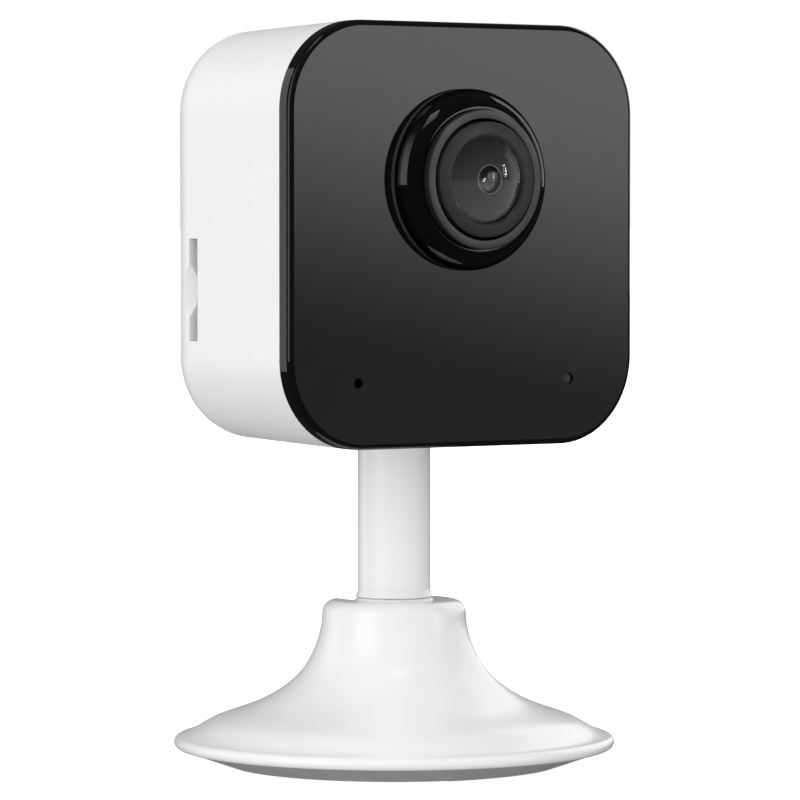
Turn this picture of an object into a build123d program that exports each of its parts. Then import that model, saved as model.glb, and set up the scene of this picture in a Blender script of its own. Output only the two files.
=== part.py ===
"""Desktop security camera: a square head on a stem, held by a ball joint in a round weighted base.

Millimetres, +Z up. The origin is the centre of the base's underside, on the stem's axis. The lens faces -Y.
"""

from build123d import *
import os
from math import cos, radians, sin, sqrt, tan

# Clearances
RUN_GAP = 0.05  # radial gap of a shaft that turns, and axial gap of a part that slides
SEAT_GAP = 0.05  # gap round a piece that stays put in its recess
FOLD_GAP = 0.35  # gap between the folded stem and its notch

# Head
HEAD = 60.3  # width and height of the square front
HEAD_CORNER = 12.7
HEAD_BOTTOM = 47.0
HEAD_Z = HEAD_BOTTOM + HEAD / 2
PANEL_FRONT = -17.5
PANEL_REAR = -15.0
PANEL_EDGE = 0.8
HOUSING_REAR = 16.5
HOUSING_DRAFT = 1.8  # degrees, each side
HOUSING_EDGE = 7.0
WALL = 1.8
INNER_REAR = HOUSING_REAR - WALL
FRAME_SIDE = HEAD - 2 * WALL - 0.4
FRAME_CORNER = HEAD_CORNER - WALL - 0.2

# Stem and ball joint
STEM_R = 5.29
BALL_R = 8.0
BALL_Z = 18.6
FOLD_ANGLE = 75.0  # how far the stem folds back into its notch
BALL_TOP = BALL_Z + sqrt(BALL_R**2 - STEM_R**2)
SPIGOT_R = 3.5
SWIVEL_SHOULDER = BALL_Z - 3.6
STEM_TOP = HEAD_BOTTOM + 7.7
WASHER = 0.8
PIN_R = 1.0
PIN_Z = HEAD_BOTTOM + 5.0

# Base
BASE_R = 32.0
NECK_R = BALL_R + 3.0
NECK_TOP = BALL_Z + 5.6
LIP_Z = 2.7  # underside of the white shell
PLATE_BOTTOM = 0.3
PLATE_TOP = 2.5
PAD_TOP = 0.8
CUP_R = BALL_R + 1.3
CUP_FLOOR = 9.2
BASE_SCREW_RING = BASE_R - 13.0
CUP_SCREW_RING = NECK_R + 1.0
BASE_SCREW_ANGLES = (-90, 30, 150)

# Lens
LENS_Z = HEAD_Z + 7.85
RING_R = 12.9
RING_FOOT_R = RING_R - 1.2
RING_CREST = -21.3
BEZEL_R = 9.9
BEZEL_FRONT = -22.3
BARREL_R = 5.95
BARREL_FLANGE_R = 8.2
GLASS_R = 6.1
LENS_FRONT = -23.0

# Layers behind the panel, front to back
FRAME_FRONT = PANEL_REAR + 0.2
FRAME_REAR = FRAME_FRONT + 1.8
FRONT_BOARD_REAR = FRAME_REAR + 0.8
HOLDER_FRONT = -8.0
SENSOR_BOARD_FRONT = -1.0
SENSOR_BOARD_REAR = 0.0
MAIN_BOARD_FRONT = 5.6
MAIN_BOARD_REAR = 6.8

# Features of the head, as offsets from its centre
BOSS_X = HEAD / 2 - 10.0
BOSS_Z = HEAD / 2 - 5.4
BOSS_R = 2.0
POST_X = HEAD / 2 - 9.0
POST_LOW = -17.3
POST_HIGH = 16.7
POST_R = 2.2
DOT_X = 18.5  # microphone hole on the left, status light on the right
DOT_Z = HEAD_BOTTOM + 9.45
MIC_HOLE_R = 0.725
LIGHT_HOLE_R = 0.825
DAYLIGHT_Z = HEAD_Z - 10.0
SLOT_Z = HEAD_Z - 7.85
SLOT_LENGTH = 14.6
SLOT_FRONT = 7.0
SLOT_REAR = 9.2
PORT_X = 12.0
BUTTON_X = -5.0
REAR_ROW_Z = HEAD_Z - 14.65
BUTTON_R = 1.9
BUTTON_TRAVEL = 0.4
SPEAKER_Z = HEAD_Z + 6.85
SPEAKER_R = 10.5
SPEAKER_REAR = INNER_REAR - 0.3
BASKET_R = 7.0
LED_OFFSET = 12.0
LED_ROOM = 1.7

# Memory card socket on the main board
SOCKET_MOUTH = -HEAD / 2 + 3.1
SOCKET_END = SOCKET_MOUTH + 14.5
SOCKET_FLOOR = MAIN_BOARD_REAR + 0.5
SOCKET_TOP = MAIN_BOARD_REAR + 1.7
SOCKET_HALF = 6.9

# Infrared filter changer
FILTER_ARM = 4.0
FILTER_SWING = 35.0  # degrees to each side
FILTER_STEP = 2 * FILTER_ARM * sin(radians(FILTER_SWING))
ROTOR_Z = LENS_Z - 7.5
CARRIAGE_FRONT = -7.0
CARRIAGE_REAR = -6.0
FILTER_HALF = 1.8
FILTER_PIN_R = 0.5
HOLDER_SCREW_X = 8.6
HOLDER_SCREW_Z = LENS_Z + 5.9

# Screws
FINE_SHANK = 0.9


def block(x: tuple, y: tuple, z: tuple) -> Part:
    """A box given by its low and high x, y and z."""
    middle = Pos(sum(x) / 2, sum(y) / 2, sum(z) / 2)
    return middle * Box(x[1] - x[0], y[1] - y[0], z[1] - z[0])


def rod_x(y: float, z: float, radius: float, low: float, high: float) -> Part:
    """A cylinder along X."""
    return Pos((low + high) / 2, y, z) * Rot(0, 90, 0) * Cylinder(radius, high - low)


def rod_y(x: float, z: float, radius: float, low: float, high: float) -> Part:
    """A cylinder along Y."""
    return Pos(x, (low + high) / 2, z) * Rot(90, 0, 0) * Cylinder(radius, high - low)


def rod_z(x: float, y: float, radius: float, low: float, high: float) -> Part:
    """A cylinder along Z."""
    return Pos(x, y, (low + high) / 2) * Cylinder(radius, high - low)


def plate(width: float, height: float, corner: float, low: float, high: float, z: float = HEAD_Z) -> Part:
    """A rounded rectangle that faces the front, from y = low to y = high."""
    face = Plane((0, low, z), x_dir=(1, 0, 0), z_dir=(0, 1, 0))
    return extrude(face * RectangleRounded(width, height, corner), amount=high - low)


def turned_y(points: list, z: float = LENS_Z) -> Part:
    """A solid of revolution about the lens axis, from an outline of (radius, y) points."""
    return Pos(0, 0, z) * revolve(make_face(Polyline(*points, close=True)), Axis.Y)


def turned_z(points: list) -> Part:
    """A solid of revolution about the stem's axis, from an outline of (radius, z) points."""
    return revolve(Plane.XZ * make_face(Polyline(*points, close=True)), Axis.Z)


def around(radius: float, angles: tuple) -> list:
    """The x, y places on a circle at the given angles in degrees."""
    return [(radius * cos(radians(a)), radius * sin(radians(a))) for a in angles]


def screw(head_r: float, head: float, shank_r: float, length: float) -> Part:
    """A pan-head screw that points up, with a cross recess, its shank starting at z = 0."""
    recess_wide = 0.35 * head_r
    recess_long = 1.3 * head_r
    recess = Box(recess_long, recess_wide, head) + Box(recess_wide, recess_long, head)
    solid = rod_z(0, 0, head_r, -head, 0) + rod_z(0, 0, shank_r, 0, length)
    return solid - Pos(0, 0, -head) * recess


def joined(solids: list) -> Part:
    """Separate solids as one group."""
    return Part() + solids


def boss_places() -> list:
    """The x, z places of the four screws that hold the front frame."""
    return [(x, HEAD_Z + z) for x in (-BOSS_X, BOSS_X) for z in (-BOSS_Z, BOSS_Z)]


def post_places() -> list:
    """The x, z places of the four screws that hold the main board."""
    return [(x, HEAD_Z + z) for x in (-POST_X, POST_X) for z in (POST_LOW, POST_HIGH)]


def led_places() -> list:
    """The x, z places of the infrared lamps round the lens."""
    return [(x, LENS_Z + z) for x in (-LED_OFFSET, LED_OFFSET) for z in (-LED_OFFSET, LED_OFFSET)]


def fold_notch() -> Part:
    """The room that the stem sweeps as it folds back: a slot with a round bottom, along the folded stem."""
    tilt = radians(FOLD_ANGLE)
    reach = 20.0
    half = STEM_R + FOLD_GAP
    folded = Plane((0, 0, BALL_Z), x_dir=(1, 0, 0), z_dir=(0, sin(tilt), cos(tilt)))
    section = Circle(half) + Pos(0, -reach / 2) * Rectangle(2 * half, reach)
    return extrude(folded * section, amount=reach)


# ---------------------------------------------------------------- base


def base_shell() -> Part:
    """The white bell: a wide rim that sweeps up to a neck, with the upper half of the ball's socket."""
    flare = ((6.5, 0.771), (8.5, 0.519), (11.0, 0.276), (14.0, 0.114), (18.0, 0.013))
    span = BASE_R - NECK_R
    rim_low = (BASE_R - 1.0, LIP_Z)
    rim_high = (BASE_R - 0.7, LIP_Z + 1.8)
    neck = (NECK_R - 0.55, NECK_TOP - 1.8)
    shoulder = [(NECK_R + span * part, z) for z, part in flare]
    rim = ThreePointArc(rim_low, (BASE_R, LIP_Z + 0.7), rim_high)
    curve = Spline(rim_high, *shoulder, neck, tangents=(rim % 1, (-0.03, 1.0)))
    top = TangentArc(neck, (neck[0] - 1.8, NECK_TOP), tangent=(-0.03, 1.0))
    close = Polyline(top @ 1, (0, NECK_TOP), (0, LIP_Z), rim_low)
    bell = revolve(Plane.XZ * make_face(rim + curve + top + close), Axis.Z)

    bore = CUP_R + SEAT_GAP
    room = [(0, 0), (BASE_R - 2.6, 0), (BASE_R - 2.6, 3.6), (BASE_R - 4.5, 4.6)]
    room += [(BASE_R - 11.5, 7.2), (NECK_R + 3.5, CUP_FLOOR), (bore, CUP_FLOOR)]
    room += [(bore, BALL_Z - 0.1), (0, BALL_Z - 0.1)]
    solid = bell - turned_z(room)

    below_skin = Pos(0, 0, -WALL / 2) * bell
    boss_r, pilot_top = 2.3, PLATE_TOP + 4.2
    for x, y in around(BASE_SCREW_RING, BASE_SCREW_ANGLES):
        solid += rod_z(x, y, boss_r, PLATE_TOP, NECK_TOP) & below_skin
        solid -= rod_z(x, y, FINE_SHANK, PLATE_TOP, pilot_top)
    for x, y in around(CUP_SCREW_RING, BASE_SCREW_ANGLES):
        solid -= rod_z(x, y, FINE_SHANK, CUP_FLOOR, CUP_FLOOR + 4.2)

    mouth_r = sqrt((BALL_R + RUN_GAP) ** 2 - (NECK_TOP - BALL_Z) ** 2)
    chamfer = 0.3
    bevel = [(0, NECK_TOP - chamfer), (mouth_r, NECK_TOP - chamfer), (mouth_r + chamfer, NECK_TOP)]
    bevel += [(mouth_r + chamfer, NECK_TOP + 1), (0, NECK_TOP + 1)]
    solid -= Pos(0, 0, BALL_Z) * Sphere(BALL_R + RUN_GAP)
    return solid - turned_z(bevel) - fold_notch()


def base_plate() -> Part:
    """The grey underside: a shallow dish that closes the shell, recessed for its pads and screws."""
    lip = BASE_R - 1.1
    inner = BASE_R - 2.7
    outline = [(0, PLATE_BOTTOM), (BASE_R - 8.0, PLATE_BOTTOM), (lip, LIP_Z), (inner, LIP_Z)]
    outline += [(inner, LIP_Z + 0.8), (inner - 1.4, LIP_Z + 0.8), (inner - 1.4, PLATE_TOP), (0, PLATE_TOP)]
    solid = turned_z(outline)
    for pad in pad_solids(SEAT_GAP):
        solid -= pad
    head_r = 2.0
    for x, y in around(BASE_SCREW_RING, BASE_SCREW_ANGLES):
        solid -= rod_z(x, y, head_r, PAD_TOP, PAD_TOP + 0.9)
        solid -= rod_z(x, y, FINE_SHANK + SEAT_GAP, 0, PLATE_TOP)
    return solid


def pad_solids(gap: float) -> list:
    """The three curved pads, each over one screw, grown by a gap."""
    inner, outer, half_turn = BASE_SCREW_RING - 2.5, BASE_SCREW_RING + 3.0, 15.0
    pads = []
    for angle in BASE_SCREW_ANGLES:
        ring = Circle(outer + gap) - Circle(inner - gap)
        reach = 2 * outer
        side = half_turn + gap
        wedge = make_face(
            Polyline(
                (0, 0),
                (reach * cos(radians(side)), -reach * sin(radians(side))),
                (reach * cos(radians(side)), reach * sin(radians(side))),
                close=True,
            )
        )
        pads.append(Rot(0, 0, angle) * extrude(ring & wedge, amount=PAD_TOP))
    return pads


def foot_pads() -> Part:
    """Rubber pads that the camera stands on."""
    return joined(pad_solids(0.0))


def base_weight() -> Part:
    """The steel ring that keeps the camera upright."""
    inner, outer, top = BASE_R - 17.0, BASE_R - 9.5, PLATE_TOP + 3.4
    solid = turned_z([(inner, PLATE_TOP), (outer, PLATE_TOP), (outer, top), (inner, top)])
    boss_room = 2.8
    for x, y in around(BASE_SCREW_RING, BASE_SCREW_ANGLES):
        solid -= rod_z(x, y, boss_room, 0, top + 1)
    return solid


def base_screws() -> Part:
    """Three screws, hidden by the pads, that hold the base plate to the shell."""
    places = around(BASE_SCREW_RING, BASE_SCREW_ANGLES)
    one = screw(1.9, 0.8, FINE_SHANK, 4.6)
    return joined([Pos(x, y, PAD_TOP + 0.9) * one for x, y in places])


def socket_cup() -> Part:
    """The lower half of the ball's socket, pushed up into the neck and held by a flange."""
    flange_r = NECK_R + 3.2
    flange_low = CUP_FLOOR - 1.3
    solid = rod_z(0, 0, CUP_R, flange_low, BALL_Z - 0.2) + rod_z(0, 0, flange_r, flange_low, CUP_FLOOR)
    solid -= Pos(0, 0, BALL_Z) * Sphere(BALL_R + RUN_GAP)
    solid -= rod_z(0, 0, 4.6, 0, BALL_Z)
    for x, y in around(CUP_SCREW_RING, BASE_SCREW_ANGLES):
        solid -= rod_z(x, y, FINE_SHANK + SEAT_GAP, 0, CUP_FLOOR)
    return solid - fold_notch()


def cup_screws() -> Part:
    """Three screws that clamp the socket cup to the shell."""
    places = around(CUP_SCREW_RING, BASE_SCREW_ANGLES)
    one = screw(1.8, 1.0, FINE_SHANK, 5.3)
    return joined([Pos(x, y, CUP_FLOOR - 1.3) * one for x, y in places])


# ---------------------------------------------------------------- ball and stem


def pivot_ball() -> Part:
    """The ball, cut flat where the stem stands on it, bored for the stem's spigot."""
    solid = Pos(0, 0, BALL_Z) * Sphere(BALL_R)
    solid -= block((-BALL_R, BALL_R), (-BALL_R, BALL_R), (BALL_TOP - RUN_GAP, BALL_TOP + BALL_R))
    solid -= rod_z(0, 0, SPIGOT_R + RUN_GAP, 0, BALL_TOP + 1)
    return solid - rod_z(0, 0, 4.4, 0, SWIVEL_SHOULDER)


def swivel_washer() -> Part:
    """The washer that keeps the stem in the ball while it turns."""
    top = SWIVEL_SHOULDER - RUN_GAP
    return rod_z(0, 0, 4.2, top - WASHER, top) - rod_z(0, 0, 1.3, top - WASHER, top)


def swivel_screw() -> Part:
    """The screw up the stem's spigot."""
    return Pos(0, 0, SWIVEL_SHOULDER - RUN_GAP - WASHER) * screw(2.3, 1.4, 1.2, 7.8)


def stem() -> Part:
    """The round stem: a spigot that turns in the ball, a tube, and an end pinned into the head."""
    low = SWIVEL_SHOULDER - RUN_GAP
    solid = rod_z(0, 0, SPIGOT_R, low, BALL_TOP + 1) + rod_z(0, 0, STEM_R, BALL_TOP, STEM_TOP)
    solid -= rod_z(0, 0, 3.0, BALL_TOP + 3.4, STEM_TOP + 1)
    solid -= rod_z(0, 0, 1.2, 0, low + 7.2)
    return solid - pin_form(SEAT_GAP)


def pin_form(gap: float) -> Part:
    """The cross pin's cylinder, grown by a gap."""
    half = STEM_R + 1.7
    return rod_x(0, PIN_Z, PIN_R + gap, -half, half)


def stem_pin() -> Part:
    """The steel pin that locks the stem in the head."""
    return pin_form(0.0)


# ---------------------------------------------------------------- head: outside


def housing_form(inset: float, rear: float) -> Part:
    """The rear housing's drafted body with a rounded rear edge, drawn in from the outside by inset."""
    side = HEAD - 2 * inset
    front = Plane((0, PANEL_REAR, HEAD_Z), x_dir=(1, 0, 0), z_dir=(0, 1, 0))
    profile = front * RectangleRounded(side, side, HEAD_CORNER - inset)
    body = extrude(profile, amount=rear - PANEL_REAR, taper=HOUSING_DRAFT)
    return fillet(body.faces().sort_by(Axis.Y)[-1].edges(), HOUSING_EDGE - inset)


def rear_housing() -> Part:
    """The white one-piece rear shell, with every opening, boss and post."""
    solid = housing_form(0.0, HOUSING_REAR) - housing_form(WALL, INNER_REAR)

    inside = []
    rib = 0.6
    for x, z in boss_places():
        inside.append(rod_y(x, z, BOSS_R, FRAME_REAR, INNER_REAR + 0.5))
        edge = HEAD_Z + (HEAD / 2 - WALL / 2 - 1.0) * (1 if z > HEAD_Z else -1)
        inside.append(block((x - rib, x + rib), (FRAME_REAR + 1, INNER_REAR), (min(z, edge), max(z, edge))))
    for x, z in post_places():
        inside.append(rod_y(x, z, POST_R, MAIN_BOARD_REAR, INNER_REAR + 0.5))
    socket_top = STEM_TOP + 1.2
    inside.append(rod_z(0, 0, STEM_R + 2.0, HEAD_BOTTOM + 0.6, socket_top))
    pad_x, pad_y = (-HEAD / 2 + 1.4, -HEAD / 2 + 4.0), (SLOT_REAR, SLOT_REAR + 3.4)
    inside.append(block(pad_x, pad_y, (SLOT_Z - 8, SLOT_Z + 8)))
    solid += joined(inside) & housing_form(WALL / 3, HOUSING_REAR - WALL / 3)

    for x, z in boss_places():
        solid -= rod_y(x, z, FINE_SHANK, FRAME_REAR - 1, FRAME_REAR + 8)
    for x, z in post_places():
        solid -= rod_y(x, z, FINE_SHANK, MAIN_BOARD_REAR - 1, MAIN_BOARD_REAR + 5.5)
    solid -= rod_z(0, 0, STEM_R + SEAT_GAP, HEAD_BOTTOM - 1, STEM_TOP)
    solid -= pin_form(0.0)
    return solid - card_slot() - rear_openings()


def card_slot() -> Part:
    """The memory card's slot in the left side, with a dent for a fingernail on its rear edge."""
    side = -HEAD / 2 + (SLOT_REAR - PANEL_REAR) * tan(radians(HOUSING_DRAFT))
    half = SLOT_LENGTH / 2
    slot = block((side - 2, side + 4.5), (SLOT_FRONT, SLOT_REAR), (SLOT_Z - half, SLOT_Z + half))
    dent_r, dent_out, dent_y = 6.9, 3.5, 4.66
    dent = Pos(side - dent_out, dent_y, SLOT_Z) * Sphere(dent_r)
    kept = block((side - 12, side + 6), (SLOT_FRONT, SLOT_FRONT + 8), (SLOT_Z - 8, SLOT_Z + 8))
    return slot + (dent & kept)


def rear_openings() -> Part:
    """The power port's recess and window, the button's hole and the speaker's grille."""
    recess = 0.8
    out = HOUSING_REAR + 1
    cut = [plate_at(PORT_X, REAR_ROW_Z, 10.6, 6.4, 1.4, HOUSING_REAR - recess, out)]
    cut.append(plate_at(PORT_X, REAR_ROW_Z, 8.1, 3.3, 0.8, INNER_REAR - 1, out))
    cut.append(rod_y(BUTTON_X, REAR_ROW_Z, BUTTON_R + RUN_GAP, INNER_REAR - 1, out))
    hole_r, pitch = 0.55, 2.2
    for ring, count in enumerate((1, 6, 12, 18)):
        for x, z in around(ring * pitch, tuple(360 * i / count for i in range(count))):
            cut.append(rod_y(x, SPEAKER_Z + z, hole_r, INNER_REAR - 1, out))
    return joined(cut)


def plate_at(x: float, z: float, width: float, height: float, corner: float, low: float, high: float) -> Part:
    """A rounded rectangle that faces the front, centred at x, z."""
    return Pos(x, 0, 0) * plate(width, height, corner, low, high, z)


def front_panel() -> Part:
    """The smoked square front, with holes for the lens ring, the microphone and the status light."""
    solid = plate(HEAD, HEAD, HEAD_CORNER, PANEL_FRONT, PANEL_REAR)
    solid = fillet(solid.faces().sort_by(Axis.Y)[0].edges(), PANEL_EDGE)
    through = (PANEL_FRONT - 1, PANEL_REAR + 1)
    solid -= rod_y(0, LENS_Z, RING_FOOT_R + SEAT_GAP, *through)
    solid -= rod_y(-DOT_X, DOT_Z, MIC_HOLE_R, *through)
    return solid - rod_y(DOT_X, DOT_Z, LIGHT_HOLE_R, *through)


def panel_adhesive() -> Part:
    """The thin frame of tape that holds the panel."""
    tape = 3.4
    inner = FRAME_SIDE - 2 * tape
    ring = plate(FRAME_SIDE, FRAME_SIDE, FRAME_CORNER, PANEL_REAR, FRAME_FRONT)
    return ring - plate(inner, inner, FRAME_CORNER - tape, PANEL_REAR - 1, FRAME_FRONT + 1)


def front_frame() -> Part:
    """The black inner frame that closes the housing and carries the lens bezel and front board."""
    solid = plate(FRAME_SIDE, FRAME_SIDE, FRAME_CORNER, FRAME_FRONT, FRAME_REAR)
    through = (FRAME_FRONT - 1, FRAME_REAR + 1)
    solid -= rod_y(0, LENS_Z, BEZEL_R + SEAT_GAP, *through)
    for x, z in boss_places():
        solid -= rod_y(x, z, FINE_SHANK + SEAT_GAP, *through)
        solid -= rod_y(x, z, 1.9, FRAME_FRONT - 1, FRAME_FRONT + 0.9)
    for x, z in led_places():
        solid -= block((x - LED_ROOM, x + LED_ROOM), through, (z - LED_ROOM, z + LED_ROOM))
    solid -= rod_y(DOT_X, DOT_Z, LIGHT_HOLE_R + SEAT_GAP / 2, *through)
    solid -= rod_y(-DOT_X, DOT_Z, 1.55, *through)
    solid -= rod_y(0, DAYLIGHT_Z, 1.4, *through)
    for x, z in front_screw_places():
        solid -= rod_y(x, z, 0.8, FRAME_REAR - 1.4, FRAME_REAR + 1)
    return solid


def frame_screws() -> Part:
    """Four screws, hidden by the panel, that hold the frame to the housing."""
    one = Rot(-90, 0, 0) * screw(1.8, 0.8, FINE_SHANK, 8.0)
    return joined([Pos(x, FRAME_FRONT + 0.9, z) * one for x, z in boss_places()])


# ---------------------------------------------------------------- head: lens


def lens_ring() -> Part:
    """The glossy domed ring round the lens, standing on the panel."""
    inner = BEZEL_R + SEAT_GAP
    rear = PANEL_REAR - 0.3
    brow, swell, crest = (RING_R, PANEL_FRONT - 0.75), (RING_R - 0.84, -20.3), (inner, RING_CREST)
    dome = ThreePointArc(brow, swell, crest)
    foot = [(RING_FOOT_R, rear), (RING_FOOT_R, PANEL_FRONT), (RING_R, PANEL_FRONT)]
    sides = Polyline(crest, (inner, rear), *foot, brow)
    return Pos(0, 0, LENS_Z) * revolve(make_face(dome + sides), Axis.Y)


def lens_bezel() -> Part:
    """The black tube round the lens barrel, clamped by its flange between the ring and the frame."""
    inner = BEZEL_R - 1.35
    chamfer = 0.25
    flange_front = PANEL_REAR - 0.3
    outline = [(inner, FRAME_REAR), (BEZEL_R, FRAME_REAR), (BEZEL_R, FRAME_FRONT), (RING_FOOT_R, FRAME_FRONT)]
    outline += [(RING_FOOT_R, flange_front), (BEZEL_R, flange_front), (BEZEL_R, BEZEL_FRONT + chamfer)]
    outline += [(BEZEL_R - chamfer, BEZEL_FRONT), (inner, BEZEL_FRONT)]
    return turned_y(outline)


def lens_barrel() -> Part:
    """The lens barrel: a wide front flange, a threaded rear end, and a stepped bore for its elements."""
    rear = HOLDER_FRONT - 0.2
    step = LENS_FRONT + 3.5
    seat = LENS_FRONT + 3.0
    bore = GLASS_R + SEAT_GAP
    outline = [(bore, LENS_FRONT), (BARREL_FLANGE_R, LENS_FRONT + 0.35), (BARREL_FLANGE_R, step)]
    outline += [(BARREL_R, step), (BARREL_R, rear), (4.4, rear), (4.4, -14.0), (5.0, -14.0)]
    outline += [(5.0, seat), (bore, seat)]
    return turned_y(outline)


def front_lens() -> Part:
    """The domed front glass."""
    dome_r, edge, rear, hollow_r = 12.0, LENS_FRONT + 0.25, LENS_FRONT + 2.95, 5.6
    rise = dome_r - sqrt(dome_r**2 - GLASS_R**2)
    solid = rod_y(0, LENS_Z, GLASS_R, edge - rise - 1, rear)
    solid &= Pos(0, edge - rise + dome_r, LENS_Z) * Sphere(dome_r)
    return solid - Pos(0, rear + hollow_r - 1.4, LENS_Z) * Sphere(hollow_r)


def lens_element(radius: float, front: float, rear: float, curve: float) -> Part:
    """A lens with two bulging faces, turned about the lens axis."""
    rise = curve - sqrt(curve**2 - radius**2)
    half = radius / 2
    half_rise = curve - sqrt(curve**2 - half**2)
    face = ThreePointArc((0, front), (half, front + half_rise), (radius, front + rise))
    back = ThreePointArc((radius, rear - rise), (half, rear - half_rise), (0, rear))
    edge = Line((radius, front + rise), (radius, rear - rise))
    outline = face + edge + back + Line((0, rear), (0, front))
    return Pos(0, 0, LENS_Z) * revolve(make_face(outline), Axis.Y)


def middle_lens() -> Part:
    """The second glass."""
    return lens_element(4.95, -17.4, -14.6, 11.0)


def rear_lens() -> Part:
    """The rear glass."""
    return lens_element(4.35, -12.6, -9.8, 9.0)


def aperture_plate() -> Part:
    """The black disc with the lens's opening."""
    return rod_y(0, LENS_Z, 4.95, -18.6, -18.2) - rod_y(0, LENS_Z, 2.05, -19, -18)


def lens_holder() -> Part:
    """The block on the sensor board: a threaded tube for the barrel and a case for the filter changer."""
    half = 9.5
    top, bottom = LENS_Z + 7.4, LENS_Z - 13.3
    solid = block((-half, half), (HOLDER_FRONT, SENSOR_BOARD_FRONT), (bottom, top))
    solid += rod_y(0, LENS_Z, 8.0, FRAME_REAR, HOLDER_FRONT)
    solid += rod_y(0, LENS_Z, 11.6, FRONT_BOARD_REAR, FRONT_BOARD_REAR + 1.0)
    solid -= rod_y(0, LENS_Z, BARREL_R + SEAT_GAP, FRAME_REAR - 1, HOLDER_FRONT)
    solid -= rod_y(0, LENS_Z, 3.4, HOLDER_FRONT - 1, HOLDER_FRONT + 2)
    floor = CARRIAGE_FRONT - RUN_GAP
    pocket = block((-7.7, 7.7), (floor, SENSOR_BOARD_FRONT), (LENS_Z - 12.1, LENS_Z + 3.5))
    solid -= pocket
    for x in (-HOLDER_SCREW_X, HOLDER_SCREW_X):
        solid -= rod_y(x, HOLDER_SCREW_Z, 0.7, SENSOR_BOARD_FRONT - 4, SENSOR_BOARD_FRONT)
    return solid


def ircut_cover() -> Part:
    """The thin plate that keeps the filter carriage in its track."""
    front = CARRIAGE_REAR + RUN_GAP
    solid = block((-7.65, 7.65), (front, front + 0.6), (LENS_Z - 2.3, LENS_Z + 3.45))
    return solid - block((-2.3, 2.3), (front - 1, front + 1), (LENS_Z - 1.9, LENS_Z + 1.9))


def ircut_carriage() -> Part:
    """The sliding frame with two windows and a forked tab for the rotor's pin."""
    bar, half_high = 0.9, 3.35
    low_x, high_x = -2.0 - bar, FILTER_STEP + 2.0 + bar
    solid = block((low_x, high_x), (CARRIAGE_FRONT, CARRIAGE_REAR), (LENS_Z - half_high, LENS_Z + half_high))
    pin_x = FILTER_STEP / 2
    tab_low = ROTOR_Z + 2.0
    solid += block((pin_x - 1.4, pin_x + 1.4), (CARRIAGE_FRONT, CARRIAGE_REAR), (tab_low, LENS_Z - half_high))
    slot_top = ROTOR_Z + FILTER_ARM + FILTER_PIN_R + 0.15
    across = (pin_x - 0.65, pin_x + 0.65)
    slot = block(across, (CARRIAGE_FRONT - 1, CARRIAGE_REAR + 1), (tab_low - 1, slot_top))
    return solid - slot - window(0.0) - window(FILTER_STEP)


def window(x: float) -> Part:
    """The block of one of the carriage's glasses, or the hole that it fills."""
    across = (x - FILTER_HALF, x + FILTER_HALF)
    return block(across, (CARRIAGE_FRONT, CARRIAGE_REAR), (LENS_Z - FILTER_HALF, LENS_Z + FILTER_HALF))


def ircut_filter() -> Part:
    """The tinted glass that stops infrared by day."""
    return window(0.0)


def ircut_clear_glass() -> Part:
    """The clear glass used at night."""
    return window(FILTER_STEP)


def ircut_rotor() -> Part:
    """The magnet on its shaft, with an arm whose pin drives the carriage."""
    swing = radians(FILTER_SWING)
    arm_front, arm_rear = CARRIAGE_REAR + 0.2, CARRIAGE_REAR + 0.9
    pin_x, pin_z = FILTER_ARM * sin(swing), ROTOR_Z + FILTER_ARM * cos(swing)
    solid = rod_y(0, ROTOR_Z, 2.2, arm_rear, -2.6) + rod_y(0, ROTOR_Z, 0.5, arm_front, -1.5)
    arm = Box(1.2, arm_rear - arm_front, FILTER_ARM)
    turned = Rot(0, FILTER_SWING, 0) * Pos(0, 0, FILTER_ARM / 2) * arm
    solid += Pos(0, (arm_front + arm_rear) / 2, ROTOR_Z) * turned
    solid += rod_y(0, ROTOR_Z, 1.2, arm_front, arm_rear)
    return solid + rod_y(pin_x, pin_z, FILTER_PIN_R, CARRIAGE_FRONT + 0.1, arm_rear)


def ircut_stator() -> Part:
    """The ring of coil and iron round the magnet, with the shaft's bearing in its back plate."""
    ring = rod_y(0, ROTOR_Z, 4.4, -4.8, -1.3) - rod_y(0, ROTOR_Z, 2.5, -5, -2.4)
    return ring - rod_y(0, ROTOR_Z, 0.5 + RUN_GAP, -3, -1.2)


def image_sensor() -> Part:
    """The image sensor chip."""
    return block((-3.2, 3.2), (SENSOR_BOARD_FRONT - 1.2, SENSOR_BOARD_FRONT), (LENS_Z - 2.8, LENS_Z + 2.8))


def sensor_board() -> Part:
    """The small board behind the lens."""
    solid = block((-11, 11), (SENSOR_BOARD_FRONT, SENSOR_BOARD_REAR), (LENS_Z - 14.6, LENS_Z + 8.9))
    for x in (-HOLDER_SCREW_X, HOLDER_SCREW_X):
        solid -= rod_y(x, HOLDER_SCREW_Z, 0.8, SENSOR_BOARD_FRONT - 1, SENSOR_BOARD_REAR + 1)
    return solid


def holder_screws() -> Part:
    """Two screws that hold the sensor board to the lens holder."""
    one = Rot(90, 0, 0) * screw(1.5, 0.8, 0.7, 4.6)
    places = (-HOLDER_SCREW_X, HOLDER_SCREW_X)
    return joined([Pos(x, SENSOR_BOARD_REAR, HOLDER_SCREW_Z) * one for x in places])


# ---------------------------------------------------------------- head: front board


def front_screw_places() -> list:
    """The x, z places of the two screws that hold the front board."""
    return [(-17.5, HEAD_Z - 6.0), (17.5, HEAD_Z - 6.0)]


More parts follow.
